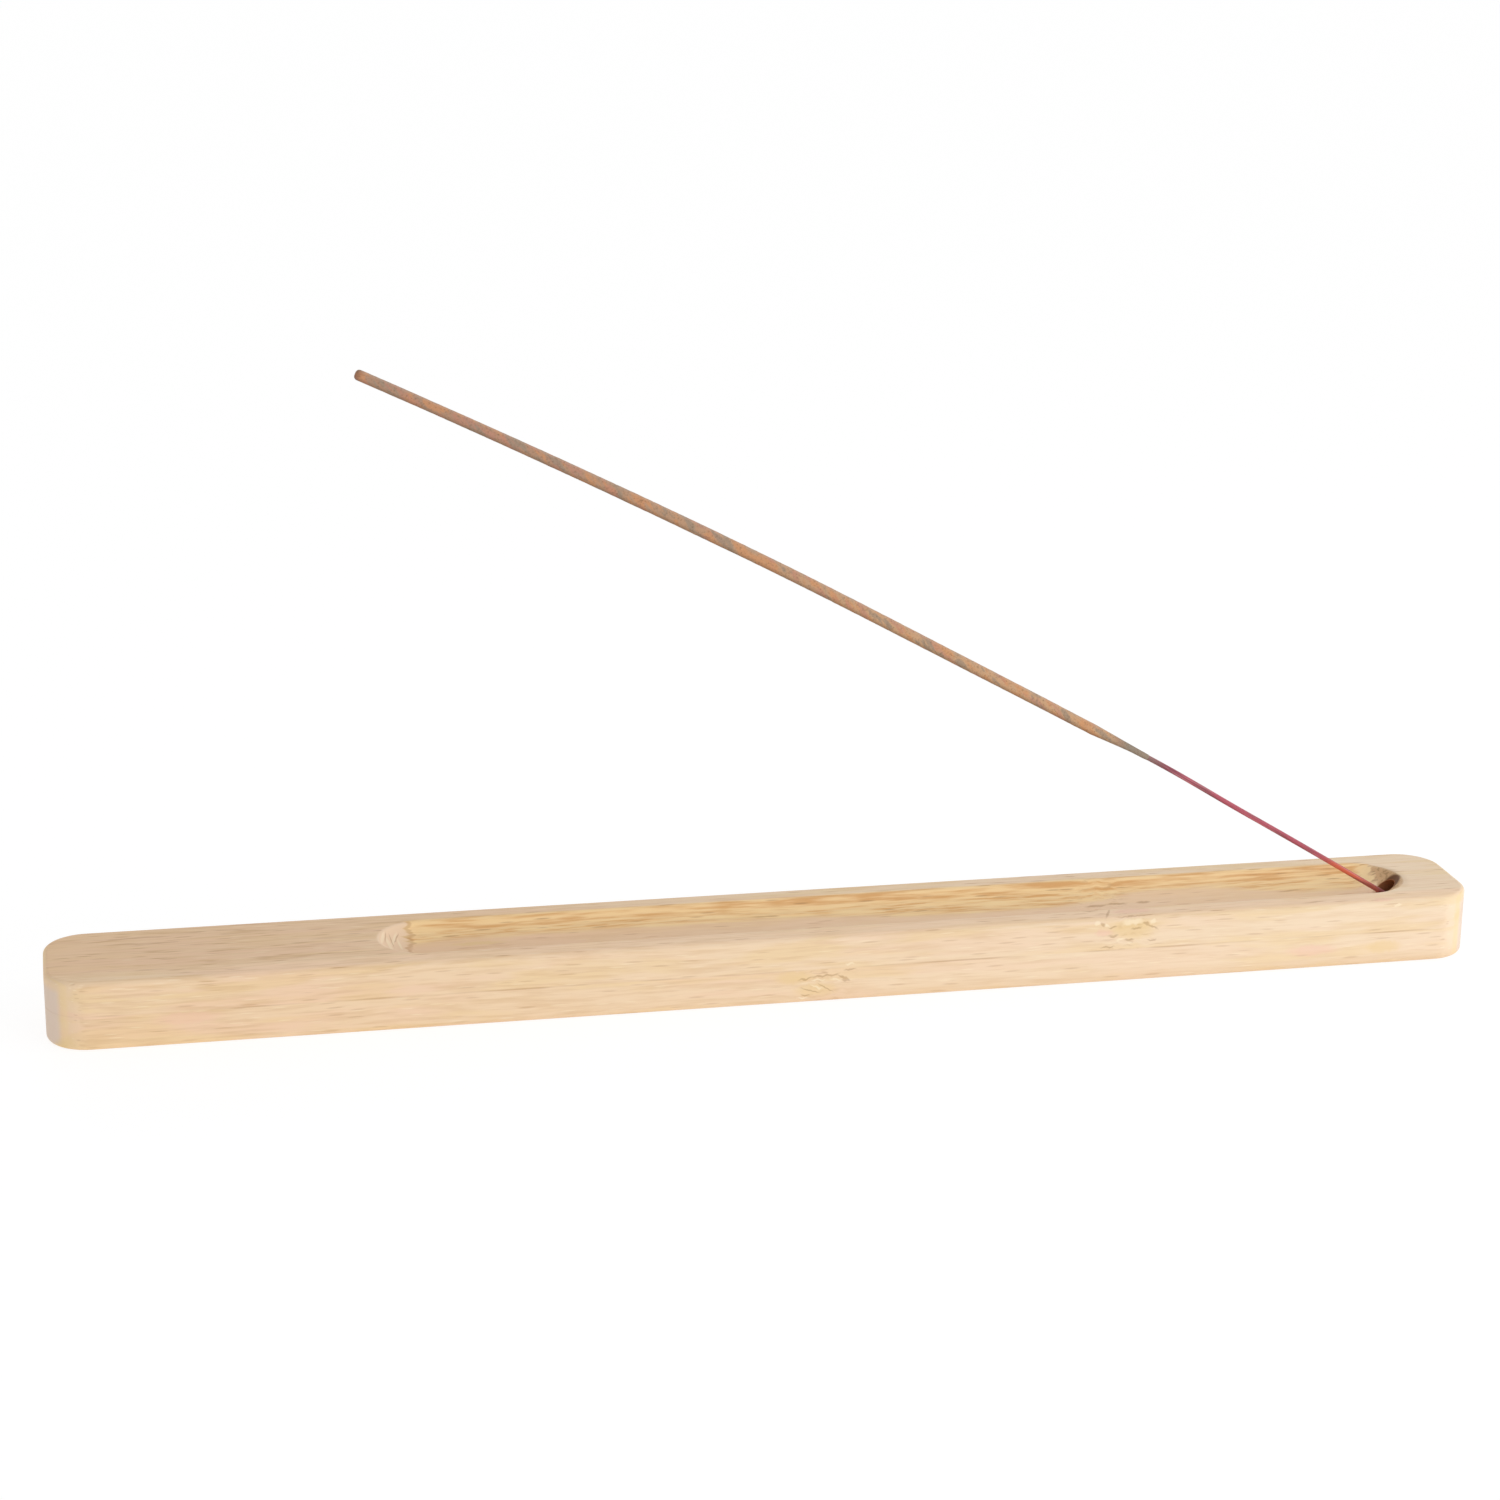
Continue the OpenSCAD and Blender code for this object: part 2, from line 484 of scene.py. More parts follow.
@dataclass(frozen=True)
class BambooFinish:
    """Sanded bamboo: pale ground, lengthwise fibres, bundle dashes and one node.

    Places and widths are in millimetres. A scale counts a pattern's turns in a
    millimetre along each axis. A span is where something starts and where it is
    full. A window is a middle, how far it is full and how far it reaches. Only the
    relief's depth is in metres.
    """

    name: str
    seed: Triple
    node_x: float
    dark_marks: tuple[Stroke, ...]
    pale_marks: tuple[Stroke, ...]
    yellow_marks: tuple[Stroke, ...]
    pink_marks: tuple[Stroke, ...]

    # The ground and what lies on it
    ground: Colour = paint(242, 213, 178)
    # Paler wood towards the right end, partly painted light from the right
    paler_and_lit_ground: Colour = paint(246, 223, 194)
    pinkish: Tone = Tone(PINK, 0.3, (0.45, 0.62))
    pink_change: float = -0.7
    yellowish: Tone = Tone(YELLOW, 0.35, (0.46, 0.64))
    # Painted shade laid on the up-facing top at the left
    top: Tone = Tone(paint(232, 194, 158), 0.55)
    border: Tone = Tone(paint(255, 221, 188), 0.55, (-7.6, -9.4))
    border_span: Pair = (-108.0, -90.0)
    browned: Tone = Tone(DASH, 0.5, (0.56, 0.72))
    low_shade: Tone = Tone(STREAK_AND_SHADE, 0.35, (2.8, 0.6))
    streaks: Tone = Tone(STREAK_AND_SHADE, 0.52, (0.42, 0.72))
    streak_change: float = -0.6
    threads: Tone = Tone(STREAK_AND_SHADE, 0.3, (0.5, 0.8))
    flecks: Tone = Tone(FLECK, 0.35)
    dashes: Tone = Tone(DASH, 0.6)
    side_dashes: float = 0.5
    left_share: float = 0.25
    inner_span: Pair = (-11.0, -6.0)
    level_span: Pair = (0.5, 0.95)
    flank_span: Pair = (0.6, 0.15)

    # The groove's walls and floor
    gold: Colour = paint(255, 222, 168)
    gold_streaks: Tone = Tone(paint(226, 174, 114), 1.0, (0.36, 0.7))
    pale_gold: Tone = Tone(paint(255, 230, 182), 0.55, (0.56, 0.46))
    gold_strength: float = 0.9
    floor: Tone = Tone(paint(255, 220, 188), 0.4)
    low_wall_span: Pair = (7.1, 5.9)
    wall_span: Pair = (1.9, 3.3)
    wall_waver: float = 1.6
    bare_stretches: tuple[tuple[Triple, float], ...] = (((-25.0, 25.0, 60.0), 1.6), ((78.0, 3.0, 28.0), 2.4))
    rim_span: Pair = (0.1, -0.6)
    run_span: Pair = (3.2, 2.2)
    far_lip_span: Pair = (0.0, 2.0)
    far_lip_shift: float = -0.7

    # The ends of the bar and of the groove
    # Painted highlight: a pale golden band where the rounded corners turn from the front to the ends
    corner: Tone = Tone(paint(246, 216, 164), 0.45)
    corner_highlight_window: Triple = (0.58, 0.03, 0.14)
    end_grain: Tone = Tone(paint(232, 212, 196), 0.85, (0.62, 0.76))
    end_drop: Pair = (1.2, 2.8)
    pale_wall: Colour = paint(244, 216, 186)
    # The groove's right end wall: partly a scorched end grain, partly painted shade as it faces away from
    # the light
    scorched_shaded_wall: Colour = paint(218, 182, 140)
    spots: Tone = Tone(WALL_SPOT_AND_SHADE, 0.55, (0.46, 0.62))
    end_wall_span: Pair = (1.9, 3.2)
    end_wall_strength: float = 0.95
    groove_edge: float = 0.5
    notch: Tone = Tone(DASH, 0.4)
    notch_window: Triple = (2.0, 0.2, 0.8)
    notch_depth: float = 3.2
    right_notch_shift: float = -2.2
    # Painted shade on the rounded lip just past the groove's right end
    lip_shade: Tone = Tone(WALL_SPOT_AND_SHADE, 0.22, (5.5, 8.0))
    lip_shade_width: float = 1.9
    right_span: Pair = (-1.0, 1.0)

    # The culm's node and the glue line
    node_reach: Pair = (1.5, 7.5)
    node_dark: Tone = Tone(DASH, 0.22, (0.56, 0.68))
    yellow_mark: Tone = Tone(YELLOW, 0.5)
    pink_mark: Tone = Tone(PINK, 0.5)
    pale_mark: Tone = Tone(FLECK, 0.6)
    dark_mark: Tone = Tone(paint(168, 128, 86), 0.42)
    glue: Tone = Tone(DASH, 0.5, (0.42, 0.62))
    glue_reach: Pair = (0.04, 0.22)

    # The drilled hole: its scorch and its painted shade
    # Round the hole's rim: partly scorch, partly painted shade
    mouth_scorch_and_shade: Tone = Tone(WALL_SPOT_AND_SHADE, 0.3, (0.9, 0.0))
    # Painted shade: a dark spot for the hole's shadowed inside, shifted towards the bar's end
    hole_shade: Tone = Tone(paint(94, 56, 32), 0.92, (0.4, -0.3))
    hole_shade_shift: float = 1.9
    # The hole's inside: partly scorch, partly painted shade in the recess
    bore: Tone = Tone(paint(150, 92, 56), 0.9, (0.25, 0.0))
    hole_fade: float = 1.2

    # Scales, details and widths of the patterns, and how far the fibres shift
    band_scale: Triple = (0.03, 0.3, 0.3)
    patch_scale: Triple = (0.05, 0.4, 0.4)
    brown_scale: Triple = (0.1, 0.9, 0.9)
    streak_scale: Triple = (0.1, 1.5, 1.5)
    streak_detail: float = 3.0
    thread_scale: Triple = (0.16, 3.6, 3.6)
    dash_scale: Triple = (0.11, 1.25, 1.25)
    dash_width: float = 0.15
    fleck_scale: Triple = (0.12, 1.5, 1.5)
    fleck_width: float = 0.14
    comb_scale: Triple = (0.12, 1.3, 1.3)
    comb_detail: float = 1.0
    spot_scale: Triple = (1.3, 1.3, 1.3)
    spot_detail: float = 3.0
    node_scale: Triple = (0.5, 1.6, 1.6)
    glue_scale: Triple = (0.05, 1.0, 1.0)
    sway_scale: Triple = (0.02, 0.1, 0.1)
    sway: float = 2.0
    swirl_scale: Triple = (0.3, 0.25, 0.25)
    swirl: float = 1.2
    shake_scale: Triple = (1.1, 0.8, 0.8)
    shake: float = 0.9

    # Relief and gloss
    relief: float = 0.02 * MM
    relief_gain: float = 0.5
    dash_rise: float = -0.35
    roughness: float = 0.6
    streak_roughness: float = 0.2
    specular: float = 0.12

    def build(self, sizes: BarSizes) -> bpy.types.Material:
        """Makes the material.

        Args:
            sizes: The bar that it lies on.

        Returns:
            The material.
        """
        material, graph = new_material(self.name)
        grain = self.read(graph, sizes)
        colour = self.wood(grain)
        for draw in (self.groove, self.ends, self.marks, self.glue_line, self.hole):
            colour = draw(grain, colour)
        raised = graph.math("ADD", grain.thread, grain.streak)
        relief = graph.math("MULTIPLY_ADD", grain.dashes, self.dash_rise, raised)
        roughness = graph.math("MULTIPLY_ADD", grain.streak, self.streak_roughness, self.roughness)
        graph.surface(colour, roughness, graph.times(relief, self.relief_gain), self.relief, self.specular)
        return material

    def read(self, graph: Graph, sizes: BarSizes) -> Grain:
        """Adds the readings that every pattern starts from.

        Args:
            graph: The material's graph.
            sizes: The bar.

        Returns:
            The readings.
        """
        place = graph.place()
        along, across, up = graph.split(place)
        back = graph.math("MAXIMUM", graph.math("ADD", across, sizes.width / 2 / MM), 0.0)
        seeded = graph.vector("ADD", place, self.seed)
        at_node = graph.window(along, self.node_x, *self.node_reach)
        slow = graph.drift(place, self.sway_scale, self.sway)
        swirl = graph.drift(place, self.swirl_scale, graph.times(at_node, self.swirl))
        fibres = graph.vector("ADD", seeded, graph.vector("ADD", slow, swirl))
        normal = graph.normal()
        lengthwise = graph.step(graph.math("ABSOLUTE", normal[0]), *self.flank_span)
        return Grain(
            graph, sizes, place, along, across, up, normal,
            level=graph.join(along, graph.math("ADD", up, back), 0.0),
            seeded=seeded,
            at_node=at_node,
            at_right=graph.step(along, *self.right_span),
            fibres=fibres,
            streak=graph.times(graph.noise(fibres, self.streak_scale, self.streak_detail), lengthwise),
            thread=graph.times(graph.noise(fibres, self.thread_scale), lengthwise),
            dashes=graph.times(graph.dashes(fibres, self.dash_scale, self.dash_width), lengthwise))

    def wood(self, grain: Grain) -> Socket:
        """Draws the ground, its streaks, dashes and flecks, and painted shade on the top and the bottom
        edge.

        Args:
            grain: The surface's readings.

        Returns:
            The wood's colour, paler and plainer towards the hole, the paler part partly painted light.
        """
        graph = grain.graph
        half = grain.sizes.length / 2 / MM
        rightward = graph.step(grain.along, -half, half)
        leftward = graph.step(grain.along, half * self.left_share, -half)
        facing_up = graph.step(grain.normal[2], *self.level_span)
        left_top = graph.times(graph.times(leftward, graph.step(grain.across, *self.inner_span)), facing_up)

        # Paler towards the right: partly the wood, partly painted light from the right
        colour = graph.tint(self.ground, self.paler_and_lit_ground, rightward)
        less_pink = graph.math("MULTIPLY_ADD", rightward, self.pink_change, 1.0)
        colour = graph.lay(colour, self.pinkish, graph.noise(grain.fibres, self.band_scale), less_pink)
        colour = graph.lay(colour, self.yellowish, graph.noise(grain.fibres, self.patch_scale))
        # Painted shade: the up-facing top at the left is darkened
        colour = graph.lay(colour, self.top, left_top)
        past_end = graph.step(grain.along, *self.border_span)
        colour = graph.lay(colour, self.border, grain.across, past_end, facing_up)
        colour = graph.lay(colour, self.browned, graph.noise(grain.fibres, self.brown_scale), left_top)
        colour = graph.lay(colour, self.low_shade, grain.up, rightward)

        plainer = graph.math("MULTIPLY_ADD", rightward, self.streak_change, 1.0)
        colour = graph.lay(colour, self.streaks, grain.streak, plainer)
        colour = graph.lay(colour, self.threads, grain.thread)
        flecks = graph.dashes(grain.fibres, self.fleck_scale, self.fleck_width)
        colour = graph.lay(colour, self.flecks, flecks)
        darker = graph.math("MULTIPLY_ADD", facing_up, 1.0 - self.side_dashes, self.side_dashes)
        return graph.lay(colour, self.dashes, grain.dashes, darker)

    def groove(self, grain: Grain, colour: Socket) -> Socket:
        """Draws the groove's golden walls over its plainer floor.

        Args:
            grain: The surface's readings.
            colour: The colour so far.

        Returns:
            The new colour.
        """
        graph = grain.graph
        rim = grain.sizes.groove_half_w / MM
        out, past = self.off_run(grain)
        over_lip = graph.step(grain.across, *self.far_lip_span)
        off_rim = graph.minus(graph.math("MULTIPLY_ADD", over_lip, self.far_lip_shift, out), rim)
        off_middle = graph.math("ABSOLUTE", grain.across)

        golden = graph.lay(self.gold, self.gold_streaks, grain.streak)
        golden = graph.lay(golden, self.pale_gold, grain.thread, graph.step(off_middle, *self.low_wall_span))
        golden = graph.lay(golden, self.dashes, grain.dashes)

        waver = graph.times(grain.streak, self.wall_waver)
        for stretch, bareness in self.bare_stretches:
            waver = graph.math("MULTIPLY_ADD", graph.window(grain.along, *stretch), bareness, waver)
        wall = graph.step(graph.minus(off_middle, waver), *self.wall_span)
        in_run = graph.step(self.past_notches(grain, past), *self.run_span)
        inside = graph.times(graph.step(off_rim, *self.rim_span), in_run)
        colour = graph.lay(colour, self.floor, inside, graph.minus(1.0, wall))
        return graph.tint(colour, golden, graph.times(inside, wall), self.gold_strength)

    def past_notches(self, grain: Grain, past: Socket) -> Socket:
        """Measures on from the ragged edge where the end grain starts.

        The end grain starts nearer to the run at the left than at the hole.

        Args:
            grain: The surface's readings.
            past: How far a place lies past the run.

        Returns:
            How far it lies past the run, less the ragged edge's own place.
        """
        graph = grain.graph
        comb = graph.noise(grain.seeded, self.comb_scale, self.comb_detail)
        centred = graph.minus(past, self.notch_depth / 2)
        ragged = graph.math("MULTIPLY_ADD", comb, self.notch_depth, centred)
        return graph.math("MULTIPLY_ADD", grain.at_right, self.right_notch_shift, ragged)

    def off_run(self, grain: Grain) -> tuple[Socket, Socket]:
        """Measures from the cutter's run.

        Args:
            grain: The surface's readings.

        Returns:
            How far a place lies off the run, and how far past its nearer end.
        """
        graph = grain.graph
        start, stop = (edge / MM for edge in grain.sizes.run)
        off = graph.math("ABSOLUTE", graph.minus(grain.along, (start + stop) / 2))
        past = graph.math("MAXIMUM", graph.minus(off, (stop - start) / 2), 0.0)
        return graph.vector("LENGTH", graph.join(past, grain.across, 0.0)), past

    def ends(self, grain: Grain, colour: Socket) -> Socket:
        """Draws the end grain, a painted highlight at the corners and painted shade at the groove's right
        end.

        Args:
            grain: The surface's readings.
            colour: The colour so far.

        Returns:
            The new colour.
        """
        graph = grain.graph
        out, past = self.off_run(grain)
        off_rim = graph.minus(out, grain.sizes.groove_half_w / MM)
        in_groove = graph.step(off_rim, self.groove_edge, 0.0)
        outside = graph.minus(1.0, in_groove)
        steep = graph.math("ABSOLUTE", grain.normal[0])
        # Painted highlight on the rounded corners
        colour = graph.lay(colour, self.corner, graph.window(steep, *self.corner_highlight_window), outside)
        below_top = graph.minus(grain.sizes.height / MM, grain.up)
        colour = graph.lay(colour, self.end_grain, steep, graph.step(below_top, *self.end_drop), outside)

        reach = self.past_notches(grain, past)
        spots = graph.noise(grain.place, self.spot_scale, self.spot_detail)
        # Right end wall: scorch and painted shade, with its brown spots
        brown = graph.lay(self.scorched_shaded_wall, self.spots, spots)
        wall = graph.tint(self.pale_wall, brown, grain.at_right)
        at_wall = graph.times(graph.step(reach, *self.end_wall_span), in_groove)
        colour = graph.tint(colour, wall, at_wall, self.end_wall_strength)
        at_left = graph.math("MAXIMUM", graph.minus(in_groove, grain.at_right), 0.0)
        colour = graph.lay(colour, self.notch, graph.window(reach, *self.notch_window), at_left)
        # Painted shade on the lip past the groove's right end
        around = graph.step(off_rim, self.lip_shade_width, 0.0)
        return graph.lay(colour, self.lip_shade, past, around, grain.at_right)

    def marks(self, grain: Grain, colour: Socket) -> Socket:
        """Draws the culm's node: its broken dark dashes and pale flecks.

        Args:
            grain: The surface's readings.
            colour: The colour so far.

        Returns:
            The new colour.
        """
        graph = grain.graph
        colour = graph.lay(colour, self.node_dark, graph.noise(grain.seeded, self.node_scale), grain.at_node)
        shaken = graph.vector("ADD", grain.level, graph.drift(grain.place, self.shake_scale, self.shake))
        for tone, strokes in (
            (self.yellow_mark, self.yellow_marks),
            (self.pink_mark, self.pink_marks),
            (self.pale_mark, self.pale_marks),
            (self.dark_mark, self.dark_marks),
        ):
            colour = graph.lay(colour, tone, graph.strokes(shaken, strokes))
        return colour

    def glue_line(self, grain: Grain, colour: Socket) -> Socket:
        """Draws the faint, broken glue line between the strips.

        Args:
            grain: The surface's readings.
            colour: The colour so far.

        Returns:
            The new colour.
        """
        graph = grain.graph
        line = graph.window(grain.up, grain.sizes.glue_z / MM, *self.glue_reach)
        broken = graph.noise(graph.join(grain.along, 0.0, 0.0), self.glue_scale)
        return graph.lay(colour, self.glue, broken, line)

    def hole(self, grain: Grain, colour: Socket) -> Socket:
        """Darkens the hole and its rim with scorch and painted shade, and paints the hole's shade a little
        past it.

        Args:
            grain: The surface's readings.
            colour: The colour so far.

        Returns:
            The new colour.
        """
        graph = grain.graph
        sizes = grain.sizes
        out = graph.vector("SUBTRACT", grain.place, tuple(sizes.mouth / MM))
        depth = graph.vector("DOT_PRODUCT", out, tuple(sizes.drill_axis))
        above = graph.step(graph.minus(depth, sizes.hole_floor / MM), self.hole_fade, 0.0)
        off_wall = self.off_drill(grain, 0.0)
        # Scorch and painted shade on the hole's rim
        colour = graph.lay(colour, self.mouth_scorch_and_shade, off_wall, above)
        # Painted shade of the hole's inside, shifted towards the bar's end
        colour = graph.lay(colour, self.hole_shade, self.off_drill(grain, self.hole_shade_shift), above)
        # Scorch and painted shade inside the hole
        return graph.lay(colour, self.bore, off_wall, above)

    def off_drill(self, grain: Grain, shift: float) -> Socket:
        """Measures from the hole's wall, with the hole shifted along the bar.

        Args:
            grain: The surface's readings.
            shift: How far towards the bar's end the hole is shifted, in millimetres.

        Returns:
            The distance outside the hole's wall, in millimetres.
        """
        graph = grain.graph
        middle = grain.sizes.mouth / MM + Vector((shift, 0, 0))
        out = graph.vector("SUBTRACT", grain.place, tuple(middle))
        off_axis = graph.vector("LENGTH", graph.vector("CROSS_PRODUCT", out, tuple(grain.sizes.drill_axis)))
        return graph.minus(off_axis, grain.sizes.hole_r / MM)


UPPER_BAMBOO = BambooFinish(
    name="bamboo_upper",
    seed=(0.0, 3.7, 11.3),
    node_x=63.0,
    dark_marks=(
        Stroke(61.4, 24.6, 4.4, 1.0, 2),
        Stroke(65.4, 25.0, 4.0, 0.8, -4),
        Stroke(70.6, 24.9, 2.8, 0.9, 0),
        Stroke(56.4, 16.6, 2.8, 0.8, 4),
        Stroke(59.2, 14.8, 4.6, 0.5, 66),
        Stroke(63.0, 12.8, 5.6, 0.55, 3),
        Stroke(57.6, 11.3, 1.0, 0.6, -30),
        Stroke(59.5, 10.6, 1.6, 0.4, 0),
        Stroke(59.7, 9.0, 1.9, 0.5, 2),
        Stroke(62.7, 8.1, 1.9, 0.45, 4),
        Stroke(64.0, 10.2, 2.0, 0.5, 4),
        Stroke(65.8, 11.0, 1.3, 0.6, -15),
        Stroke(67.0, 10.3, 2.6, 0.4, -31),
        Stroke(67.0, 7.8, 1.8, 0.35, 0),
        Stroke(58.6, 6.9, 2.8, 0.3, 0),
        Stroke(-70.5, 27.0, 4.0, 0.24, 84),
        Stroke(-69.4, 26.4, 4.6, 0.24, 98),
        Stroke(-68.4, 27.6, 3.6, 0.24, 72),
    ),
    pale_marks=(
        Stroke(56.6, 11.6, 1.2, 0.9, 0),
        Stroke(58.4, 11.0, 1.1, 0.5, -20),
        Stroke(63.2, 11.5, 4.0, 1.3, 4),
        Stroke(67.1, 11.3, 1.2, 0.8, 0),
        Stroke(61.0, 8.2, 1.6, 0.5, 10),
        Stroke(62.9, 7.5, 0.9, 0.4, 0),
        Stroke(10.7, 6.9, 1.8, 0.4, 0),
        Stroke(114.4, 11.4, 1.6, 0.5, 0),
        Stroke(-71.1, 26.2, 5.0, 0.7, 80),
        Stroke(-69.9, 24.8, 5.5, 0.8, 100),
        Stroke(-68.9, 27.0, 5.0, 0.6, 76),
        Stroke(-67.9, 25.6, 4.0, 0.5, 100),
    ),
    yellow_marks=(
        Stroke(63.5, 10.0, 9.0, 4.0, 0),
        Stroke(-54.0, 25.2, 10.0, 1.2, 0),
    ),
    pink_marks=(
        Stroke(111.6, 13.2, 4.0, 1.4, 0),
        Stroke(57.9, 9.7, 3.4, 1.4, 0),
        Stroke(64.0, 15.4, 8.0, 2.6, 0),
    ),
)
LOWER_BAMBOO = BambooFinish(
    name="bamboo_lower",
    seed=(47.0, 21.3, 5.1),
    node_x=6.0,
    dark_marks=(
        Stroke(2.6, 4.6, 2.8, 0.35, 10),
        Stroke(5.8, 4.95, 4.6, 0.5, 3),
        Stroke(7.4, 5.0, 2.4, 0.5, 0),
        Stroke(9.5, 4.5, 2.4, 0.45, -24),
        Stroke(10.0, 4.0, 1.6, 0.6, -10),
        Stroke(10.7, 5.9, 2.2, 0.45, 2),
        Stroke(3.5, 2.3, 4.0, 0.28, -16),
        Stroke(6.3, 2.6, 3.4, 0.28, -30),
        Stroke(2.6, 1.6, 1.8, 0.25, -10),
    ),
    pale_marks=(
        Stroke(4.9, 4.2, 2.6, 0.4, -4),
        Stroke(8.0, 4.1, 2.2, 0.4, -16),
        Stroke(2.1, 1.1, 1.8, 0.4, 0),
        Stroke(4.6, 2.9, 2.4, 0.35, -18),
    ),
    yellow_marks=(
        Stroke(0.4, 5.0, 7.0, 2.6, 0),
        Stroke(4.5, 2.4, 8.0, 2.6, 0),
        Stroke(-128.0, 2.0, 5.0, 4.0, 0),
        Stroke(112.0, 3.4, 7.0, 2.4, 0),
    ),
    pink_marks=(Stroke(-106.0, 5.0, 12.0, 2.4, 0), Stroke(98.0, 3.6, 10.0, 2.2, 0)),
)


@dataclass(frozen=True)
class StickSizes:
    """The stick's sizes: its tilt and lower end from the frame, the rest as made."""

    tilt: float
    core_low: Vector
    core_high: Vector
    length: float = 226.5 * MM
    core_r: float = 0.5 * MM
    coat_r: float = 1.05 * MM
    bare: float = 65.5 * MM
    taper: float = 12 * MM
    tip: float = 2.5 * MM
    tip_r: float = 0.6 * MM
    shank: float = 19.5 * MM
    bow_r: float = 1830 * MM
    bore_gap: float = 0.02 * MM
    thin_edge: float = 0.06 * MM

    @property
    def end(self) -> Vector:
        """Middle of the stick's lower end."""
        along = self.core_high.x - self.core_r * math.sin(self.tilt)
        return Vector((along, 0, self.core_low.z + self.core_r * math.cos(self.tilt)))

    @property
    def axis(self) -> Vector:
        """Direction from the stick's lower end to its tip."""
        return Vector((-math.cos(self.tilt), 0, math.sin(self.tilt)))

    @property
    def bow_centre(self) -> Vector:
        """Middle of the bow, seen from the stick's lower end."""
        return Vector((-self.shank, 0, -self.bow_r))


def read_run(graph: Graph, sizes: StickSizes, place: Socket) -> Socket:
    """Measures along the stick.

    Args:
        graph: The material's graph.
        sizes: The stick.
        place: The place, in millimetres.

    Returns:
        The length from the stick's lower end, in millimetres.
    """
    out = graph.vector("SUBTRACT", place, tuple(sizes.end / MM))
    return graph.vector("DOT_PRODUCT", out, tuple(sizes.axis))


def turn_level(graph: Graph, sizes: StickSizes, place: Socket) -> Socket:
    """Returns a place in axes that follow the stick: along it, across it and up from it."""
    return graph.add("Mapping", {"Vector": place, "Rotation": (0.0, -sizes.tilt, 0.0)}).outputs[0]


@dataclass(frozen=True)
class DyedFinish:
    """Split bamboo dyed red, with lengthwise fibres that took the dye unevenly.

    Its places are millimetres along the stick, and its spans and windows work as in
    the bamboo's finish.
    """

    name: str = "dyed_bamboo"
    crimson: Colour = paint(176, 84, 99)
    orange: Tone = Tone(paint(208, 102, 76), 1.0)
    orange_window: Triple = (16.5, 4.0, 9.0)
    maroon: Tone = Tone(paint(118, 62, 74), 0.8)
    maroon_window: Triple = (62.5, 2.5, 7.0)
    dark: Tone = Tone(paint(118, 76, 80), 0.65, (0.44, 0.58))
    dust: Tone = Tone(paint(140, 122, 112), 0.6)
    dust_reach: Pair = (0.6, 5.0)
    lit: Tone = Tone(DYED_PINK, 0.25, (0.4, 0.95))
    fibres: Tone = Tone(DYED_PINK, 0.45, (0.5, 0.7))
    fibre_scale: Triple = (0.12, 4.5, 4.5)
    fibre_detail: float = 3.0
    patch_scale: Triple = (0.12, 0.8, 0.8)
    relief: float = 0.03 * MM
    roughness: float = 0.6
    specular: float = 0.25

    def build(self, sizes: StickSizes) -> bpy.types.Material:
        """Makes the material.

        Args:
            sizes: The stick, which its fibres follow.

        Returns:
            The material.
        """
        material, graph = new_material(self.name)
        place = graph.place()
        run = read_run(graph, sizes, place)
        turned = turn_level(graph, sizes, place)
        fibre = graph.noise(turned, self.fibre_scale, self.fibre_detail)
        colour = graph.lay(self.crimson, self.orange, graph.window(run, *self.orange_window))
        colour = graph.lay(colour, self.maroon, graph.window(run, *self.maroon_window))
        colour = graph.lay(colour, self.dark, graph.noise(turned, self.patch_scale))
        colour = graph.lay(colour, self.dust, graph.window(run, sizes.bare / MM, *self.dust_reach))
        colour = graph.lay(colour, self.lit, graph.normal()[2])
        colour = graph.lay(colour, self.fibres, fibre)
        graph.surface(colour, self.roughness, fibre, self.relief, self.specular)
        return material


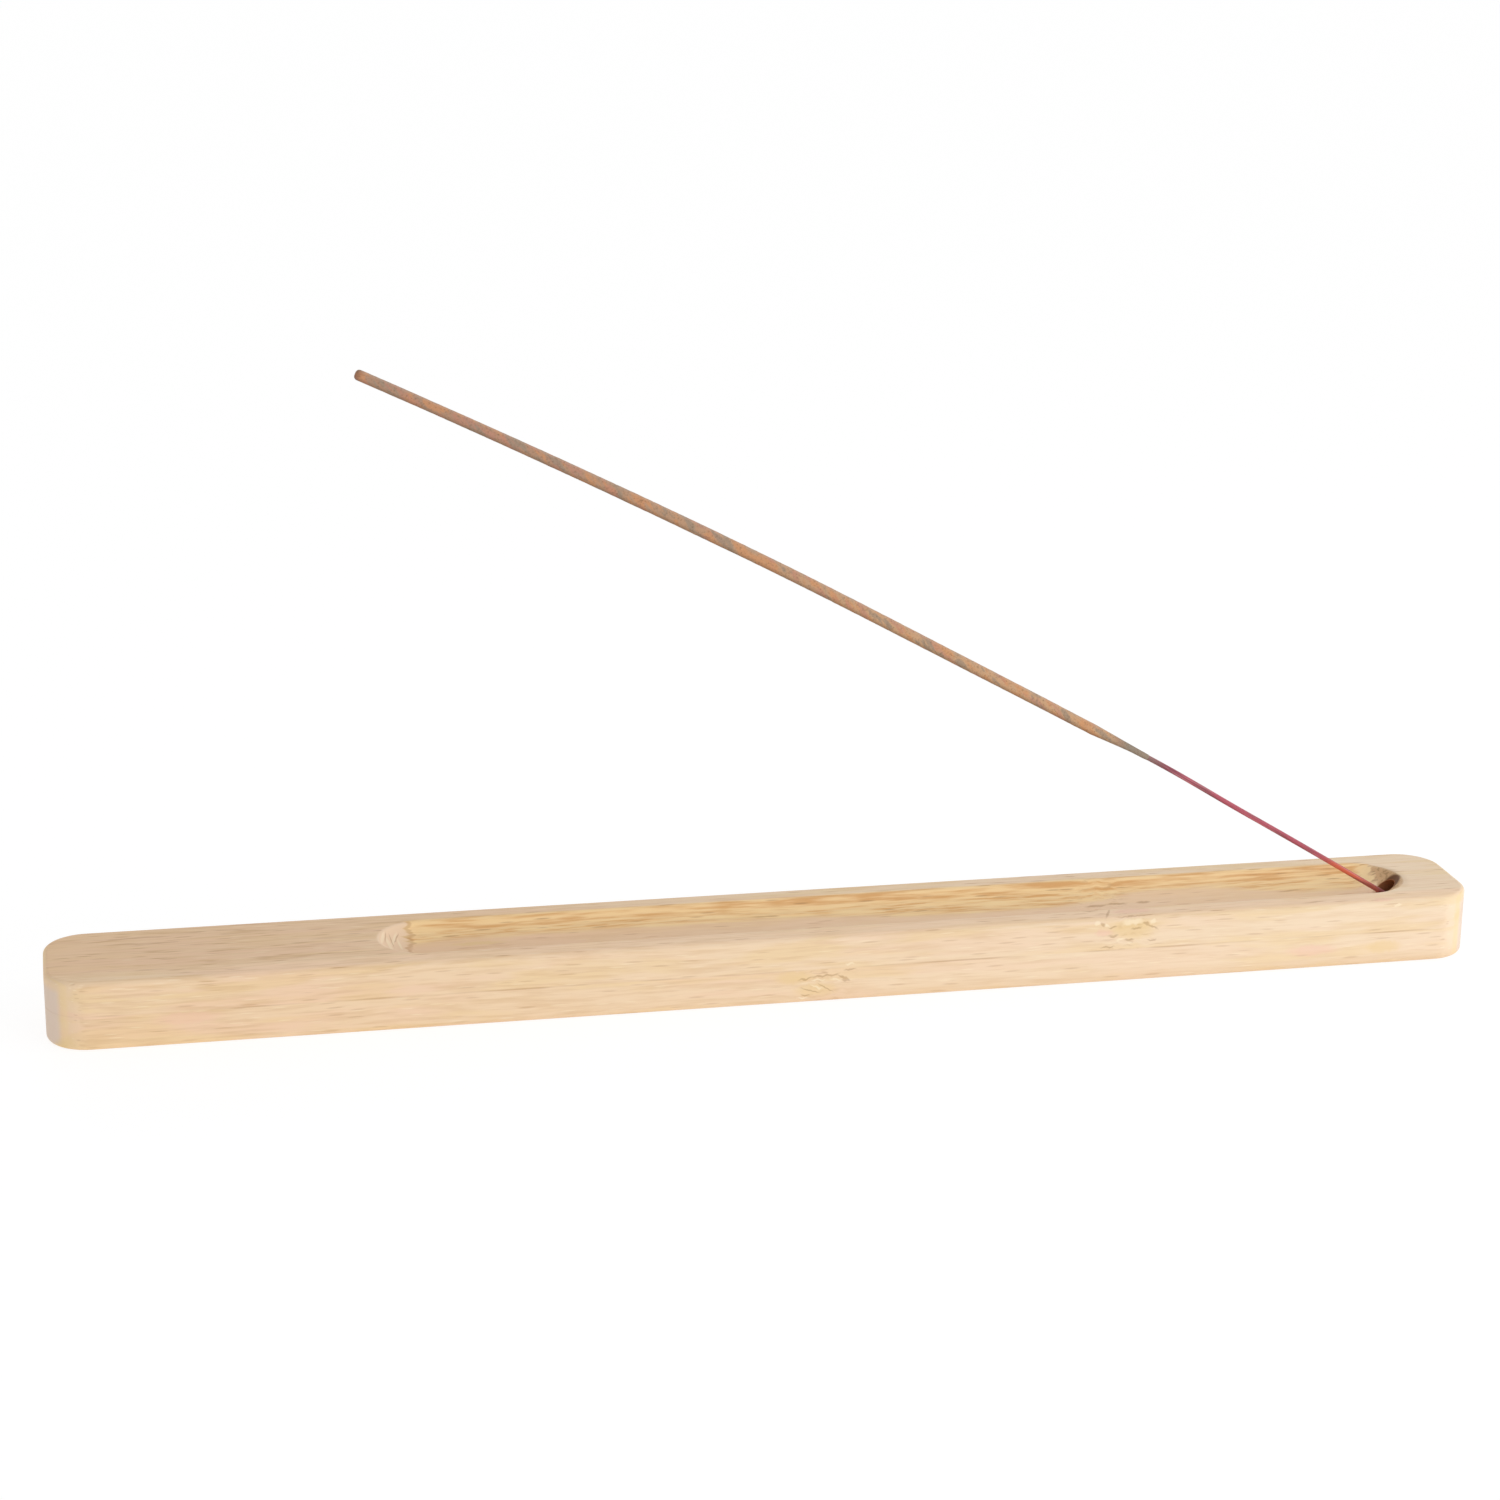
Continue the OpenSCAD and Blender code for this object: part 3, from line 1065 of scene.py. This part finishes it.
@dataclass(frozen=True)
class PasteFinish:
    """Dried incense paste: brown powder with orange, rose and grey patches.

    Its places are millimetres along the stick: the ragged start's from the bare
    core's end, and the char's from the tip.
    """

    name: str = "incense_paste"
    tip_brown: Colour = paint(176, 140, 116)
    low_brown: Colour = paint(200, 160, 124)
    brown_span: Pair = (215.0, 100.0)
    orange: Tone = Tone(paint(208, 146, 100), 0.6, (0.5, 0.6))
    rose: Tone = Tone(paint(190, 134, 116), 0.55, (0.5, 0.6))
    grey: Tone = Tone(paint(156, 138, 120), 0.75, (0.46, 0.36))
    # Painted shade: the paste's downward-facing side is darkened
    underside: Tone = Tone(DARK_PASTE, 0.5, (-0.1, -0.8))
    # Painted sheen: the paste's upward-facing side is paler
    upper_sheen: Tone = Tone(paint(222, 196, 176), 0.3, (0.5, 0.9))
    ragged: Tone = Tone(paint(146, 134, 120), 0.9, (11.0, 4.0))
    char: Tone = Tone(paint(140, 100, 82), 0.5, (-1.8, -0.8))
    grains: Tone = Tone(DARK_PASTE, 0.4, (0.5, 0.72))
    specks: Tone = Tone(DARK_PASTE, 0.4)
    patch_scale: Triple = (0.4, 0.5, 0.5)
    rose_scale: Triple = (0.34, 0.5, 0.5)
    rose_shift: Triple = (70.0, 30.0, 10.0)
    slant: float = 1.5
    grain_scale: Triple = (2.6, 2.6, 2.6)
    grain_detail: float = 4.0
    speck_scale: Triple = (1.5, 1.5, 1.5)
    speck_width: float = 0.18
    relief: float = 0.06 * MM
    roughness: float = 0.92
    specular: float = 0.15

    def build(self, sizes: StickSizes) -> bpy.types.Material:
        """Makes the material.

        Args:
            sizes: The stick that it covers.

        Returns:
            The material.
        """
        material, graph = new_material(self.name)
        place = graph.place()
        run = read_run(graph, sizes, place)
        upward = graph.normal()[2]
        along, across, up = graph.split(turn_level(graph, sizes, place))
        slanted = graph.join(graph.math("MULTIPLY_ADD", up, self.slant, along), across, up)
        patch = graph.noise(slanted, self.patch_scale)
        grain = graph.noise(place, self.grain_scale, self.grain_detail)
        colour = graph.tint(self.tip_brown, self.low_brown, graph.step(run, *self.brown_span))
        for tone, reading in (
            (self.orange, patch),
            (self.rose, graph.noise(graph.vector("ADD", slanted, self.rose_shift), self.rose_scale)),
            (self.grey, patch),
            (self.underside, upward),
            (self.upper_sheen, upward),
            (self.ragged, graph.minus(run, sizes.bare / MM)),
            (self.char, graph.minus(run, sizes.length / MM)),
            (self.grains, grain),
            (self.specks, graph.dashes(place, self.speck_scale, self.speck_width)),
        ):
            colour = graph.lay(colour, tone, reading)
        graph.surface(colour, self.roughness, grain, self.relief, self.specular)
        return material


def new_piece(name: str, mesh: Mesh) -> bpy.types.Object:
    """Puts a finished mesh into the scene.

    Args:
        name: The piece's name.
        mesh: Its mesh, which is used up.

    Returns:
        The new object.
    """
    data = bpy.data.meshes.new(name)
    mesh.to_mesh(data)
    mesh.free()
    piece = bpy.data.objects.new(name, data)
    bpy.context.scene.collection.objects.link(piece)
    return piece


def edges_of(ring: Ring) -> list[Edge]:
    """Returns the edges of a ring."""
    return [part for part in ring if isinstance(part, Edge)]


def dress(piece: bpy.types.Object, material: bpy.types.Material, body: Body, node: str) -> None:
    """Gives a piece its finish and its place in the frame, and reports it.

    Args:
        piece: The piece.
        material: Its finish.
        body: The body that it rides on.
        node: The node that it stands for.
    """
    piece.data.materials.clear()
    piece.data.materials.append(material)
    piece.data.shade_smooth()
    piece.data.set_sharp_from_angle(angle=SHARP)
    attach(piece, body.value)
    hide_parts(node)
    LOG.info("%s: %d faces, rides on %s", piece.name, len(piece.data.polygons), body.value)


@dataclass
class Leg:
    """One leg of a sweep: a turn about an upright axis, or a straight run."""

    steps: int
    centre: Vector = field(default_factory=Vector)
    turn: float = 0.0
    stride: Vector = field(default_factory=Vector)


@dataclass
class HolderBar:
    """The two glued strips of the bar.

    Steps count the strides of a curve. A support is the narrow flat next to a round,
    which keeps the wide flat beyond it from taking the round's shading.
    """

    sizes: BarSizes
    corner_steps: int = 16
    arc_steps: int = 40
    round_steps: int = 6
    run_step: float = 1.5 * MM
    support: float = 0.06 * MM
    hole_segments: int = 64
    hole_lead: float = 3.5 * MM
    ridge: float = 0.02 * MM
    ridge_length: float = 22 * MM
    ridge_width: float = 0.5 * MM

    def sweep(self, mesh: Mesh, profile: list[Pair], middle_x: float,
              half_x: float, half_y: float) -> None:
        """Sweeps an upright profile once round a rounded rectangle.

        Args:
            mesh: The mesh to add to.
            profile: Points out from the corner's axis, and up.
            middle_x: Middle of the rectangle along the bar.
            half_x: Half of the straight run along the bar.
            half_y: Half of the straight run across it.
        """
        start = Vector((middle_x - half_x, -half_y, 0))
        points = [mesh.verts.new(start + Vector((0, -out, up))) for out, up in profile]
        geometry = points + [mesh.edges.new(pair) for pair in zip(points, points[1:])]
        runs = max(1, round(2 * half_x / self.run_step))
        quarter = math.pi / 2
        for side in (1, -1):
            end_x = middle_x + side * half_x
            legs = [Leg(runs, stride=Vector((side * 2 * half_x / runs, 0, 0)))]
            legs.append(Leg(self.corner_steps, Vector((end_x, -side * half_y, 0)), quarter))
            if half_y:
                legs.append(Leg(1, stride=Vector((0, side * 2 * half_y, 0))))
            legs.append(Leg(self.corner_steps, Vector((end_x, side * half_y, 0)), quarter))
            for leg in legs:
                geometry = bmesh.ops.spin(
                    mesh, geom=geometry, cent=leg.centre, axis=(0, 0, 1), dvec=leg.stride,
                    angle=leg.turn, steps=leg.steps)["geom_last"]

    def wall(self, low: float, high: float, eased_top: bool) -> list[Pair]:
        """Returns the outer wall's profile, from its eased end on.

        Args:
            low: Bottom of the strip.
            high: Top of the strip.
            eased_top: Whether the top or the bottom edge is eased.

        Returns:
            Points out from the corner's axis, and up.
        """
        s = self.sizes
        flat = s.corner_r - s.edge_r
        turns = [math.pi / 2 * k / self.round_steps for k in range(self.round_steps + 1)]
        points = [(flat - self.support, 0.0)]
        points += [(flat + s.edge_r * math.sin(t), s.edge_r * (1 - math.cos(t))) for t in turns]
        points += [(s.corner_r, s.edge_r + self.support), (s.corner_r, high - low)]
        return [(out, high - rise if eased_top else low + rise) for out, rise in points]

    def cove(self) -> list[Pair]:
        """Draws half of the groove's section.

        Returns:
            Points from its lip down to the middle of its floor: off the middle, and up.
        """
        s = self.sizes
        lip_y, lip_z = s.lip
        slope = math.asin(lip_y / (s.cutter_r + s.lip_r))
        lip = [slope * k / self.round_steps for k in range(self.round_steps)]
        floor = [slope * (1 - k / self.arc_steps) for k in range(self.arc_steps + 1)]
        points = [(lip_y + self.support, s.height)]
        points += [(lip_y - s.lip_r * math.sin(t), lip_z + s.lip_r * math.cos(t)) for t in lip]
        return points + [(s.cutter_r * math.sin(t), s.cutter_z - s.cutter_r * math.cos(t)) for t in floor]

    def close_flat(self, mesh: Mesh, height: float) -> None:
        """Fills the flat face between the open rims at one height.

        Args:
            mesh: The strip's mesh.
            height: The rims' height.
        """
        rims = [e for e in mesh.edges if e.is_boundary and all(abs(v.co.z - height) < WELD for v in e.verts)]
        bmesh.ops.triangle_fill(mesh, edges=rims, use_beauty=True, use_dissolve=False)

    def strip(self, low: float, high: float, upper: bool) -> Mesh:
        """Builds one strip as a closed mesh, before its hole is drilled.

        Args:
            low: Bottom of the strip.
            high: Top of the strip.
            upper: Whether it is the strip with the groove.

        Returns:
            The strip's mesh.
        """
        s = self.sizes
        mesh = bmesh.new()
        half_x, half_y = s.length / 2 - s.corner_r, s.width / 2 - s.corner_r
        self.sweep(mesh, self.wall(low, high, upper), 0.0, half_x, half_y)
        if upper:
            start, stop = s.run
            self.sweep(mesh, self.cove(), (start + stop) / 2, (stop - start) / 2, 0.0)
        bmesh.ops.remove_doubles(mesh, verts=mesh.verts, dist=WELD)
        self.close_flat(mesh, low)
        self.close_flat(mesh, high)
        bmesh.ops.recalc_face_normals(mesh, faces=mesh.faces)
        if upper:
            self.raise_ridges(mesh)
        return mesh

    def raise_ridges(self, mesh: Mesh) -> None:
        """Leaves the cutter's faint lengthwise ridges on the groove's floor.

        Args:
            mesh: The upper strip's mesh.
        """
        s = self.sizes
        for vert in mesh.verts:
            if abs(vert.co.y) < s.groove_half_w and s.glue_z < vert.co.z < s.lip[1]:
                place = Vector((vert.co.x / self.ridge_length, vert.co.y / self.ridge_width, 0.0))
                vert.co.z += noise.noise(place) * self.ridge

    def drill(self) -> bpy.types.Object:
        """Builds the drill's sweep, which is taken out of both strips.

        Returns:
            A closed piece in the frame.
        """
        s = self.sizes
        point = s.hole_r / math.tan(s.point_half_angle)
        profile = [(0.0, -self.hole_lead), (s.hole_r, -self.hole_lead), (s.hole_r, s.hole_floor)]
        profile.append((0.0, s.hole_floor + point))
        mesh = bmesh.new()
        points = [mesh.verts.new((out, 0, down)) for out, down in profile]
        edges = [mesh.edges.new(pair) for pair in zip(points, points[1:])]
        bmesh.ops.spin(mesh, geom=points + edges, cent=(0, 0, 0), axis=(0, 0, 1), angle=math.tau,
                       steps=self.hole_segments, use_merge=True)
        bmesh.ops.remove_doubles(mesh, verts=mesh.verts, dist=WELD)
        place = Matrix.Translation(s.mouth) @ s.drill_axis.to_track_quat("Z", "Y").to_matrix().to_4x4()
        bmesh.ops.transform(mesh, matrix=place, verts=mesh.verts)
        bmesh.ops.recalc_face_normals(mesh, faces=mesh.faces)
        return new_piece("drill", mesh)

    def cut(self, piece: bpy.types.Object, tool: bpy.types.Object) -> None:
        """Takes the tool's shape out of a piece.

        Args:
            piece: The piece, whose mesh is replaced.
            tool: The closed shape to take out.
        """
        modifier = piece.modifiers.new("hole", "BOOLEAN")
        modifier.object = tool
        modifier.operation = "DIFFERENCE"
        modifier.solver = "EXACT"
        graph = bpy.context.evaluated_depsgraph_get()
        data = bpy.data.meshes.new_from_object(piece.evaluated_get(graph))
        piece.modifiers.clear()
        piece.data = data

    def build(self) -> None:
        """Builds and dresses both strips."""
        s = self.sizes
        upper = new_piece("upper_strip_wood", self.strip(s.glue_z, s.height, True))
        lower = new_piece("lower_strip_wood", self.strip(0.0, s.glue_z, False))
        tool = self.drill()
        self.cut(upper, tool)
        self.cut(lower, tool)
        bpy.data.objects.remove(tool)
        dress(upper, UPPER_BAMBOO.build(s), Body.HOLDER, "upper_strip")
        dress(lower, LOWER_BAMBOO.build(s), Body.HOLDER, "lower_strip")


@dataclass
class IncenseStick:
    """The stick: a dyed bamboo core in a coat of paste.

    The core is a little square, with fibres along it. The paste has lumps and slow
    swells, is thinner away from its belly and slims towards the tip. It starts in
    ragged tongues, later on its underside. A sag is a rise or fall of the bow: its
    height, its middle and its reach.
    """

    sizes: StickSizes
    core_sides: int = 24
    coat_sides: int = 32
    core_step: float = 0.8 * MM
    coat_step: float = 0.3 * MM
    bore_step: float = 4 * MM
    tip_steps: int = 5
    square: float = 0.03
    fibre: float = 0.02 * MM
    fibre_length: float = 14 * MM
    fibre_turns: float = 3.5
    lump: float = 0.03 * MM
    lump_size: float = 0.9 * MM
    swell: float = 0.015 * MM
    swell_length: float = 11 * MM
    swell_seed: float = 4.0
    belly: float = 0.04 * MM
    belly_run: Pair = (140 * MM, 62 * MM)
    slim: float = 0.07 * MM
    slim_run: Pair = (165 * MM, 212 * MM)
    tongue: float = 2.5 * MM
    tongue_turns: float = 1.7
    tongue_seed: float = 9.0
    underside: float = 2.0 * MM
    thinning: float = 1.3
    sags: tuple[Triple, ...] = (
        (-0.22 * MM, 108 * MM, 42 * MM),
        (0.26 * MM, 62 * MM, 20 * MM),
    )

    def place(self) -> Matrix:
        """Returns the turn and shift from the stick's own axes to the frame."""
        return Matrix.Translation(self.sizes.end) @ Matrix.Rotation(self.sizes.tilt, ROWS, "Y")

    def bend(self, run: float) -> Matrix:
        """Returns the turn and shift to a length along the bow."""
        s = self.sizes
        turn = Matrix.Rotation(-(run - s.shank) / s.bow_r, ROWS, "Y")
        return Matrix.Translation(s.bow_centre) @ turn @ Matrix.Translation((0, 0, s.bow_r))

    def ring(self, mesh: Mesh, radius: float, sides: int, place: Matrix) -> Ring:
        """Adds one open ring round the stick.

        Args:
            mesh: The mesh to add to.
            radius: The ring's radius.
            sides: Its number of sides.
            place: The turn and shift to its place on the stick.

        Returns:
            Its vertices and edges.
        """
        upright = Matrix.Rotation(math.pi / 2, ROWS, "Y")
        verts = bmesh.ops.create_circle(mesh, radius=radius, segments=sides, matrix=place @ upright)["verts"]
        return verts + list(dict.fromkeys(edge for vert in verts for edge in vert.link_edges))

    def along_bow(self, mesh: Mesh, ring: Ring, length: float, step: float) -> Ring:
        """Sweeps a ring along the bow.

        Args:
            mesh: The mesh that holds the ring.
            ring: The ring's vertices and edges.
            length: How far it is swept.
            step: Length of one stride.

        Returns:
            The last ring's vertices and edges.
        """
        s = self.sizes
        return bmesh.ops.spin(
            mesh, geom=ring, cent=s.bow_centre, axis=(0, 1, 0), angle=-length / s.bow_r,
            steps=max(1, round(length / step)))["geom_last"]

    def straighten(self, point: Vector) -> Triple:
        """Reads a point on the bowed stick as if the stick were straight.

        Args:
            point: The point, in the stick's own axes.

        Returns:
            Its length along the bow, its side and its height.
        """
        s = self.sizes
        out = point - s.bow_centre
        turn = math.atan2(-out.x, out.z)
        return s.shank + turn * s.bow_r, out.y, math.hypot(out.x, out.z) - s.bow_r

    def sag(self, mesh: Mesh) -> None:
        """Gives the bow its slight unevenness: a few hair-wide rises and falls.

        Args:
            mesh: The mesh, in the stick's own axes.
        """
        for vert in mesh.verts:
            if vert.co.x <= -self.sizes.shank:
                run, side, rise = self.straighten(vert.co)
                for height, middle, reach in self.sags:
                    off = min(1.0, abs(run - middle) / reach)
                    rise += height * (1 + math.cos(math.pi * off)) / 2
                vert.co = self.bend(run) @ Vector((0, side, rise))

    def seat(self, mesh: Mesh) -> Mesh:
        """Sags a closed mesh and moves it from the stick's own axes into the frame.

        Args:
            mesh: The mesh.

        Returns:
            The same mesh, with its faces turned outwards.
        """
        bmesh.ops.recalc_face_normals(mesh, faces=mesh.faces)
        self.sag(mesh)
        bmesh.ops.transform(mesh, matrix=self.place(), verts=mesh.verts)
        return mesh

    def core(self) -> Mesh:
        """Builds the core: a split of bamboo, nearly round, with fibres along it.

        Returns:
            Its mesh, closed and in the frame.
        """
        s = self.sizes
        mesh = bmesh.new()
        ring = self.ring(mesh, s.core_r, self.core_sides, Matrix.Identity(ROWS))
        strides = round(s.shank / self.core_step)
        ring = bmesh.ops.spin(mesh, geom=ring, cent=(0, 0, 0), axis=(0, 1, 0), angle=0.0,
                              dvec=(-s.shank / strides, 0, 0), steps=strides)["geom_last"]
        self.along_bow(mesh, ring, s.length - s.tip - s.shank, self.core_step)
        for vert in mesh.verts:
            on_shank = vert.co.x > -s.shank
            run, side, rise = (-vert.co.x, vert.co.y, vert.co.z) if on_shank else self.straighten(vert.co)
            turn = math.atan2(rise, side)
            flat = self.square * math.cos(2 * turn) ** 2
            round_place = Vector((0, math.cos(turn), math.sin(turn))) * self.fibre_turns
            grain = noise.noise(round_place + Vector((run / self.fibre_length, 0, 0)))
            self.scale_ring(vert, 1 - flat - (1 + grain) / 2 * self.fibre / s.core_r, run, on_shank)
        bmesh.ops.holes_fill(mesh, edges=[e for e in mesh.edges if e.is_boundary])
        return self.seat(mesh)

    def scale_ring(self, vert: Vert, share: float, run: float, on_shank: bool) -> None:
        """Moves a vertex towards the stick's middle.

        Args:
            vert: The vertex.
            share: Its new distance as a share of the old.
            run: Its length along the stick.
            on_shank: Whether it is on the straight shank.
        """
        middle = Vector((-run, 0, 0)) if on_shank else self.bend(run) @ Vector()
        vert.co = middle + (vert.co - middle) * share

    def coat(self) -> Mesh:
        """Builds the paste: a ragged thin start, a lumpy run and a blunt tip over a bore.

        Returns:
            Its mesh, closed and in the frame.
        """
        s = self.sizes
        mesh = bmesh.new()
        bore_r = s.core_r + s.bore_gap
        outer = self.ring(mesh, s.coat_r, self.coat_sides, self.bend(s.bare))
        mouth_edges = edges_of(outer)
        last = self.along_bow(mesh, outer, s.length - s.tip_r - s.bare, self.coat_step)
        for vert in mesh.verts:
            self.shape_paste(vert)
        self.round_tip(mesh, last)
        bore = self.ring(mesh, bore_r, self.coat_sides, self.bend(s.bare))
        bore_edges = edges_of(bore)
        end = self.along_bow(mesh, bore, s.length - s.tip + s.bore_gap - s.bare, self.bore_step)
        bmesh.ops.contextual_create(mesh, geom=edges_of(end))
        bmesh.ops.bridge_loops(mesh, edges=mouth_edges + bore_edges)
        return self.seat(mesh)

    def shape_paste(self, vert: Vert) -> None:
        """Thins, lumps and shifts one vertex of the paste's outside.

        Args:
            vert: The vertex, still on the plain round run.
        """
        s = self.sizes
        run, side, rise = self.straighten(vert.co)
        turn = math.atan2(rise, side)
        late = self.underside * (1 - math.sin(turn)) / 2
        share = min(1.0, max(0.0, (run - s.bare - late) / (s.taper - late)))
        grain = noise.noise(Vector((run, side, rise)) / self.lump_size)
        swell = noise.noise(Vector((run / self.swell_length, 0.0, self.swell_seed)))
        start, stop = self.slim_run
        slim = self.slim * min(1.0, max(0.0, (run - start) / (stop - start)))
        middle, reach = self.belly_run
        belly = self.belly * (1 - max(0.0, 1 - ((run - middle) / reach) ** 2))
        full = s.coat_r + grain * self.lump + swell * self.swell - slim - belly
        thin = s.core_r + s.thin_edge
        radius = thin + (full - thin) * share**self.thinning
        round_place = Vector((math.cos(turn), math.sin(turn), 0)) * self.tongue_turns
        edge = noise.noise(round_place + Vector((0, 0, self.tongue_seed)))
        shifted = run + (1 + edge) / 2 * self.tongue * (1 - share) ** 2
        vert.co = self.bend(shifted) @ Vector((0, math.cos(turn) * radius, math.sin(turn) * radius))

    def round_tip(self, mesh: Mesh, ring: Ring) -> None:
        """Closes the paste with a blunt, rounded tip.

        Args:
            mesh: The paste's mesh.
            ring: The last ring of its run.
        """
        s = self.sizes
        edges = edges_of(ring)
        start = s.length - s.tip_r
        middle = self.bend(start) @ Vector()
        offsets = {v: v.co - middle for e in edges for v in e.verts}
        for k in range(1, self.tip_steps + 1):
            turn = math.pi / 2 * k / self.tip_steps
            result = bmesh.ops.extrude_edge_only(mesh, edges=edges)["geom"]
            edges = edges_of(result)
            fresh = {}
            for vert in (v for v in result if isinstance(v, Vert)):
                old = min(offsets, key=lambda v: (v.co - vert.co).length_squared)
                fresh[vert] = offsets[old]
            for vert, out in fresh.items():
                radius = out.length
                inner = (radius - s.tip_r + s.tip_r * math.cos(turn)) / radius
                vert.co = self.bend(start + s.tip_r * math.sin(turn)) @ Vector() + out * inner
            offsets = fresh
        bmesh.ops.contextual_create(mesh, geom=edges)

    def build(self) -> None:
        """Builds and dresses the core and its paste."""
        core = new_piece("core_bamboo", self.core())
        coat = new_piece("paste_coat", self.coat())
        dress(core, DyedFinish().build(self.sizes), Body.STICK, "stick_core")
        dress(coat, PasteFinish().build(self.sizes), Body.STICK, "incense_coat")


@dataclass
class Studio:
    """A white table, soft light from the front and the right, and the camera."""

    azimuth: float = -0.210486
    elevation: float = 0.304006
    roll: float = 0.011878
    distance: float = 587.956 * MM
    target: Triple = (-5.371 * MM, 0, 43.888 * MM)
    focal_px: float = 3310.564
    frame_px: float = 1500.0
    sensor: float = 36.0
    near: float = 10 * MM
    floor_size: float = 6.0
    floor_colour: Colour = (0.8, 0.8, 0.8, 1.0)
    floor_bounce: float = 0.3
    floor_glow: float = 1.1
    shadow_share: float = 0.25
    sky: float = 0.63
    sun: float = 0.87
    sun_turn: Pair = (math.radians(5), math.radians(40))
    sun_size: float = math.radians(20)
    back: float = 0.6
    back_turn: Pair = (math.radians(10), math.radians(180))
    back_size: float = math.radians(30)
    side_place: Triple = (300 * MM, -150 * MM, 220 * MM)
    side_target: Triple = (60 * MM, 0, 0)
    side_size: float = 300 * MM
    side_power: float = 0.23

    def put(self, data: bpy.types.ID, name: str) -> bpy.types.Object:
        """Puts a lamp or a camera into the scene and returns its object."""
        thing = bpy.data.objects.new(name, data)
        bpy.context.scene.collection.objects.link(thing)
        return thing

    def camera(self) -> None:
        """Places the camera where the picture was taken from."""
        level = math.cos(self.elevation)
        side, front = math.sin(self.azimuth) * level, -math.cos(self.azimuth) * level
        back = Vector((side, front, math.sin(self.elevation)))
        lens = bpy.data.cameras.new("camera")
        lens.sensor_width = self.sensor
        lens.lens = self.focal_px / self.frame_px * self.sensor
        lens.clip_start = self.near
        camera = self.put(lens, "camera")
        camera.location = Vector(self.target) + back * self.distance
        camera.rotation_mode = "QUATERNION"
        roll = Matrix.Rotation(self.roll, ROWS, "Z").to_quaternion()
        camera.rotation_quaternion = back.to_track_quat("Z", "Y") @ roll
        bpy.context.scene.camera = camera

    def seen(self, graph: Graph) -> Socket:
        """Returns 1 for rays that show the backdrop, in the picture or in a gloss."""
        rays = graph.add("LightPath", {}).outputs
        total = graph.math("MAXIMUM", rays["Is Camera Ray"], rays["Is Glossy Ray"])
        return graph.math("MAXIMUM", total, rays["Is Transmission Ray"])

    def floor(self) -> None:
        """Lays the white floor, which keeps a faint shadow of the object."""
        mesh = bmesh.new()
        bmesh.ops.create_grid(mesh, x_segments=1, y_segments=1, size=self.floor_size / 2)
        piece = new_piece("floor", mesh)
        material, graph = new_material("white_floor")
        matt = graph.add("BsdfDiffuse", {"Color": self.floor_colour}).outputs[0]
        bounce = graph.add("Emission", {"Strength": self.floor_bounce}).outputs[0]
        table = graph.add("AddShader", {0: matt, 1: bounce}).outputs[0]
        white = graph.add("Emission", {"Strength": self.floor_glow}).outputs[0]
        lit = graph.add("BsdfDiffuse", {"Color": WHITE}).outputs[0]
        shown = graph.add("MixShader", {0: self.shadow_share, 1: white, 2: lit}).outputs[0]
        both = graph.add("MixShader", {0: self.seen(graph), 1: table, 2: shown}).outputs[0]
        graph.add("OutputMaterial", {"Surface": both})
        piece.data.materials.append(material)

    def far_light(self, name: str, energy: float, size: float, turn: Pair) -> None:
        """Adds a far, soft light.

        Args:
            name: Its name.
            energy: Its strength, in watts on a square metre.
            size: The angle that it fills.
            turn: How high it stands, and how far to the right of the front.
        """
        lamp = bpy.data.lights.new(name, "SUN")
        lamp.energy = energy
        lamp.angle = size
        self.put(lamp, name).rotation_euler = (math.pi / 2 - turn[0], 0, turn[1])

    def lights(self) -> None:
        """Sets low lights from the front and the back, and a soft one at the right."""
        self.far_light("front_light", self.sun, self.sun_size, self.sun_turn)
        self.far_light("back_light", self.back, self.back_size, self.back_turn)
        side = bpy.data.lights.new("side_light", "AREA")
        side.energy = self.side_power
        side.size = self.side_size
        light = self.put(side, "side_light")
        light.location = self.side_place
        light.rotation_mode = "QUATERNION"
        light.rotation_quaternion = (light.location - Vector(self.side_target)).to_track_quat("Z", "Y")

    def sky_light(self) -> None:
        """Sets the even sky, which shows as white."""
        world = bpy.data.worlds.new("studio")
        bpy.context.scene.world = world
        world.use_nodes = True
        graph = Graph(world.node_tree)
        strength = graph.math("MULTIPLY_ADD", self.seen(graph), 1.0 - self.sky, self.sky)
        sky = graph.add("Background", {"Color": WHITE, "Strength": strength}).outputs[0]
        graph.add("OutputWorld", {"Surface": sky})

    def build(self) -> None:
        """Sets the whole studio."""
        self.camera()
        self.floor()
        self.lights()
        self.sky_light()
        bpy.context.scene.view_settings.view_transform = "Standard"


def main() -> None:
    """Builds the holder, its stick and the studio, and reports each piece."""
    logging.basicConfig(level=logging.INFO, format="%(name)s: %(message)s")
    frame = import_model()
    lower_low, lower_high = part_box("lower_strip")
    upper_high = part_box("upper_strip")[1]
    Studio().build()
    size = upper_high - lower_low
    HolderBar(BarSizes(size.x, size.y, size.z, lower_high.z)).build()
    axis = Vector(frame["joints"][0]["axis"])
    IncenseStick(StickSizes(math.atan2(axis.z, -axis.x), *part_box("stick_core"))).build()


if __name__ == "__main__":
    main()
